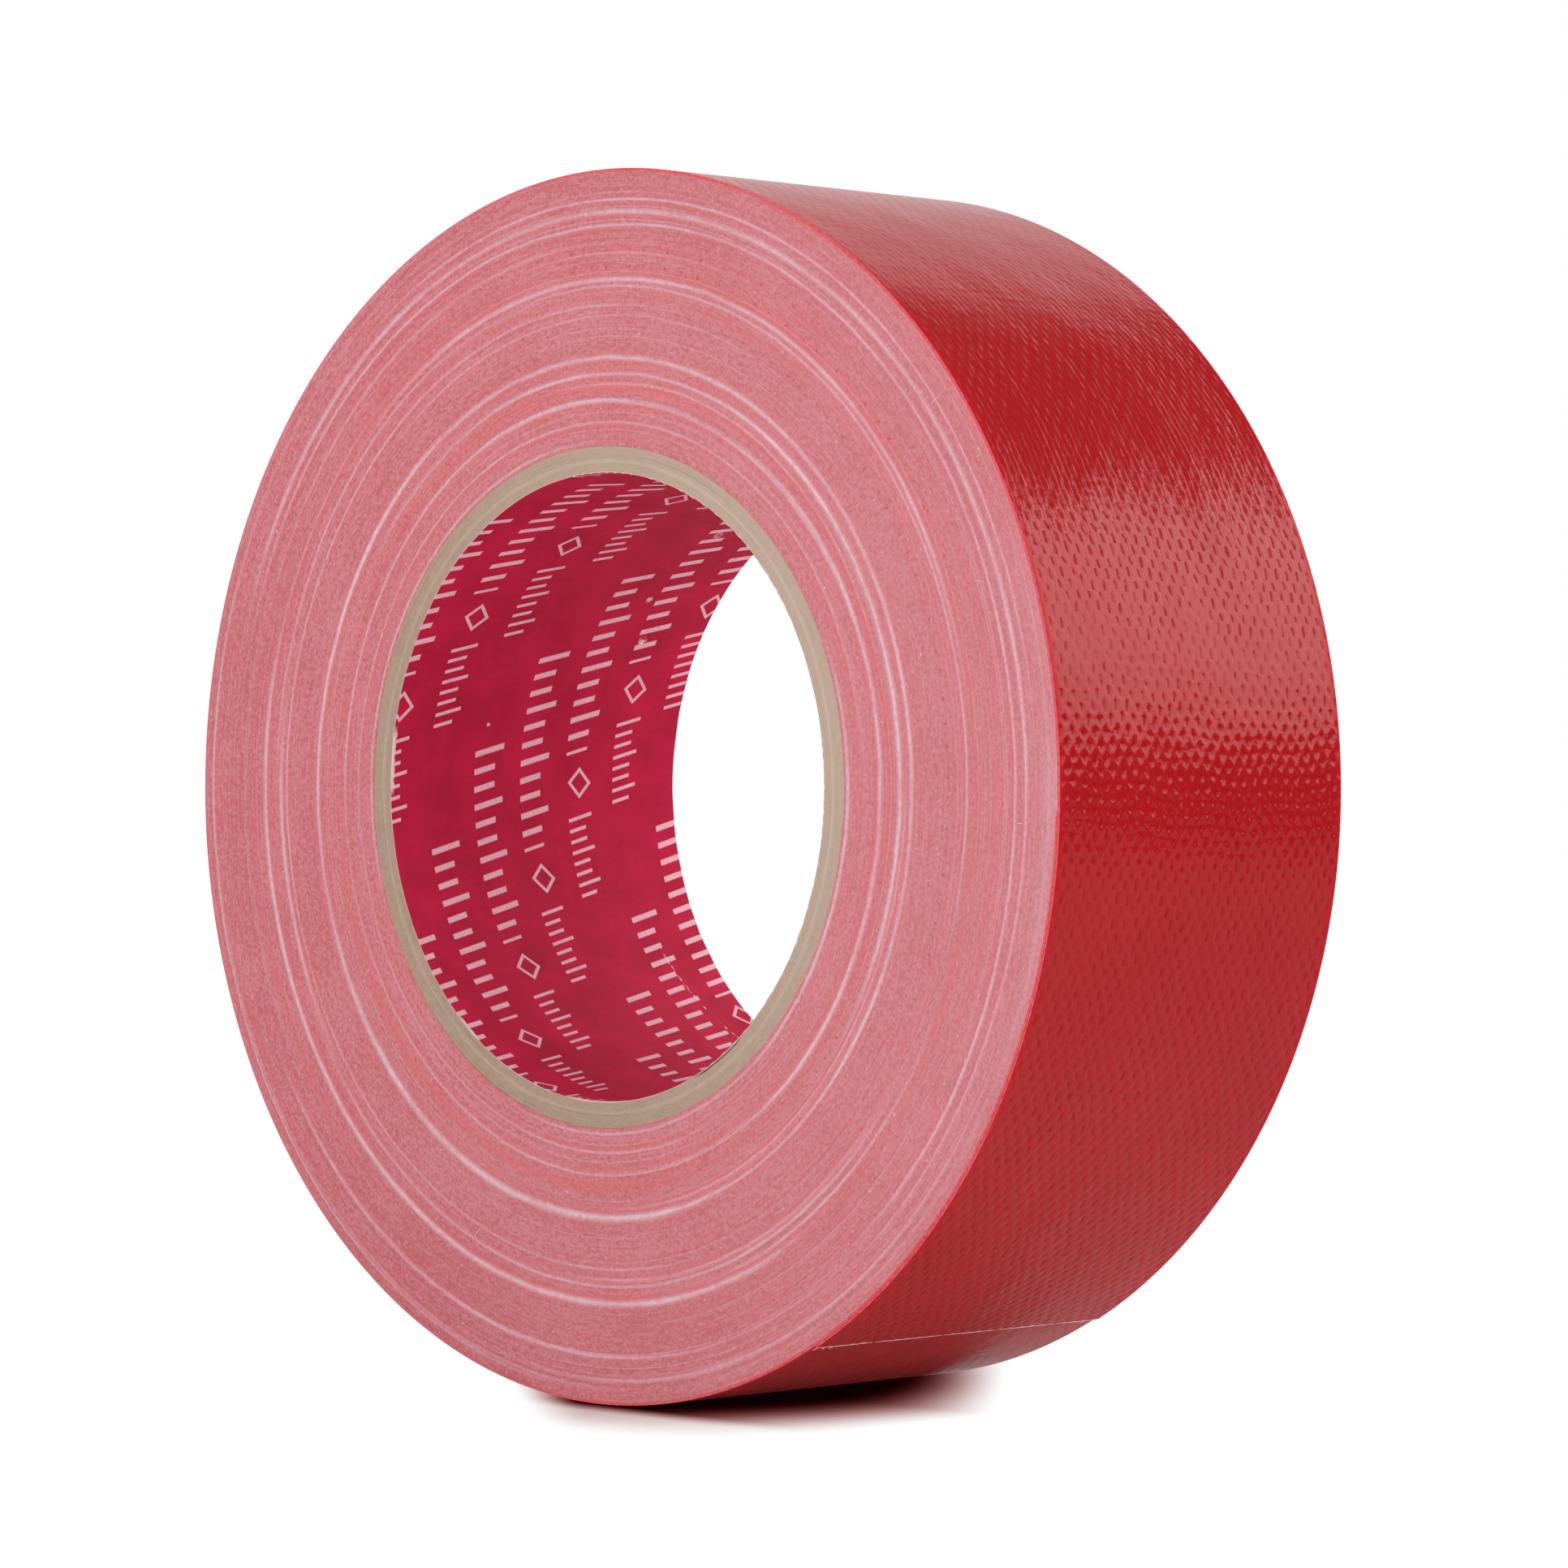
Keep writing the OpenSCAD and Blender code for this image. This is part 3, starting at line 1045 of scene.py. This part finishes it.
def camera():
    """Long lens at the height of the bore, between the roll's front and its right."""
    data = bpy.data.cameras.new("camera")
    data.lens = CAMERA_LENS
    data.sensor_width = 36
    data.shift_x, data.shift_y = CAMERA_SHIFT
    eye = bpy.data.objects.new("camera", data)
    turn = math.radians(CAMERA_AZIMUTH)
    eye.location = (CAMERA_DISTANCE * math.sin(turn), -CAMERA_DISTANCE * math.cos(turn), 0)
    eye.rotation_euler = (math.radians(90), 0, turn)
    bpy.context.scene.collection.objects.link(eye)
    bpy.context.scene.camera = eye


# Tint of all that is seen in sharp reflections, which the red film warms
REFLECTED = (1.24, 0.97, 0.97)
WHITE = (1.0, 1.0, 1.0)


def studio():
    """What the tread reflects: one bright window on the right, and a pale room on the left.

    Matt surfaces are lit more simply: from above and behind, by the window, and from all round.
    """
    world = bpy.data.worlds.new("studio")
    world.use_nodes = True
    bpy.context.scene.world = world
    shader = Shader(world.node_tree)
    x, y, z = shader.split(shader.node("NewGeometry", output="Incoming"))
    x, y, z = x * -1, y * -1, z * -1
    # Sharp reflections: the window, the room in front and behind, and the ceiling
    flat = (x * x + y * y).math("SQRT").math("MAXIMUM", 0.001)
    toward = (x * 0.655 + y * 0.756) / flat
    window = z.step(0.06, 0.12) * z.step(0.605, 0.505) * toward.step(0.34, 0.64)
    backdrop = x.step(-0.05, -0.35) * z.step(0.0, 0.03)
    behind = 0.03 * z.step(0.0, 0.08) + backdrop * 0.58
    front = y.step(0.5, 0.0)
    room = behind * (1 - front) + front * 0.9
    top = z.step(0.72, 0.82)
    room = room * (1 - top) + top * 0.8
    shiny = room * (1 - window) + window * (1.30 + 0.48 * z.step(0.10, 0.34))
    # Matt surfaces
    overhead = x * 0.30 + y * 0.36 + z * 0.883
    matt = 0.14 + overhead.step(0.55, 0.86) * 2.25 + window * 1.1
    glossy = shader.node("LightPath", output="Is Glossy Ray")
    light = shiny * glossy + matt * (1 - glossy)
    seen = shader.node("LightPath", output="Is Camera Ray")
    strength = light * (1 - seen) + seen
    tint = shader.mix(glossy, WHITE, REFLECTED)
    sky = shader.node("Background", {"Color": tint, "Strength": strength})
    shader.output(sky, "OutputWorld")


def front_light():
    """Soft lamp at the front right, which makes that side of the roll the brighter one."""
    data = bpy.data.lights.new("front_light", "AREA")
    data.size = 0.8
    data.energy = 4.6
    lamp = bpy.data.objects.new("front_light", data)
    lamp.location = (0.62, -0.80, 0.32)
    lamp.rotation_euler = (Vector((0, 0, 0)) - lamp.location).to_track_quat("-Z", "Y").to_euler()
    bpy.context.scene.collection.objects.link(lamp)


# Half lengths along x, in mm, of the painted contact shadow's dark core and of the whole shadow
SHADOW_CORE = 12
SHADOW_REACH = 44


def painted_shadow_light(x, y):
    """Share of light in the painted contact shadow, 0 to 1, at a place on the floor in mm; the
    roll touches it at x = 0.
    """
    start = SHADOW_CORE - y * y / 60
    end = SHADOW_REACH - y.math("MAXIMUM", 0.0) * 0.85
    beside = ((abs(x) - start) / (end - start)).step(0.0, 1.0)
    front = y.step(-25.0, -32.5) * 0.6 + y.step(-32.0, -52.0) * 0.4
    left = ((y + 30) * -1.2 - x).step(-3.0, 10.0)
    return 1 - (1 - beside * beside) * (1 - front) * (1 - left)


def floor_material():
    """White floor that glows to light the roll softly from below, more strongly beneath it.

    The camera sees a painted compact contact shadow on it, painted warm where the roll's red
    reaches it. Sharp reflections see the floor as painted shade: grey, and black far off.
    """
    made, shader = material("floor_white")
    x, y, _ = shader.split(shader.position())
    # What the camera sees: a painted contact shadow, with painted warm bounce light from the
    # roll's red
    bright = painted_shadow_light(x / MM, y / MM) * 1.02 + 0.004
    warm = bright.math("POWER", 1.6)
    painted_view = shader.node("Emission", {"Color": shader.join(bright, warm, warm), "Strength": 1.0})

    glossy = shader.node("LightPath", output="Is Glossy Ray")
    diffuse = shader.node("LightPath", output="Is Diffuse Ray")
    # Painted shade: in sharp reflections the floor is grey, and black beyond about a metre
    distance = (x * x + y * y).math("SQRT")
    near = distance.step(1.1, 0.65)
    grey = shader.mix(near, (0.0, 0.0, 0.0), (0.25, 0.25, 0.25))
    matt = shader.node("BsdfDiffuse", {"Color": shader.mix(glossy, (0.95, 0.95, 0.95), grey)})
    # Painted light: the floor glows for matt surfaces, more strongly beneath the roll
    beneath = 0.36 + 0.20 * distance.step(0.09, 0.03)
    glow = shader.node("Emission", {"Color": (*WHITE, 1.0), "Strength": diffuse * beneath})
    lighting = shader.combine("AddShader", matt, glow)
    seen = shader.node("LightPath", output="Is Camera Ray")
    shader.output(shader.combine("MixShader", seen, lighting, painted_view))
    made.cycles.emission_sampling = "NONE"
    return made


# Metres
FLOOR_HALF_SIZE = 3.0


def floor():
    """Pale floor that the roll stands on."""
    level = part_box("outer_turn_film")[0].z
    mesh = bpy.data.meshes.new("floor")
    signs = ((-1, -1), (1, -1), (1, 1), (-1, 1))
    corners = [(x * FLOOR_HALF_SIZE, y * FLOOR_HALF_SIZE, level) for x, y in signs]
    mesh.from_pydata(corners, [], [(0, 1, 2, 3)])
    mesh.materials.append(floor_material())
    piece = bpy.data.objects.new("floor", mesh)
    bpy.context.scene.collection.objects.link(piece)


outer_turn()
tail()
wound_side("wound_tape_front", -1, 31)
wound_side("wound_tape_back", 1, 51)
core()
side_yarns()
cut_yarns()
camera()
studio()
front_light()
floor()
bpy.context.scene.view_settings.view_transform = "Standard"
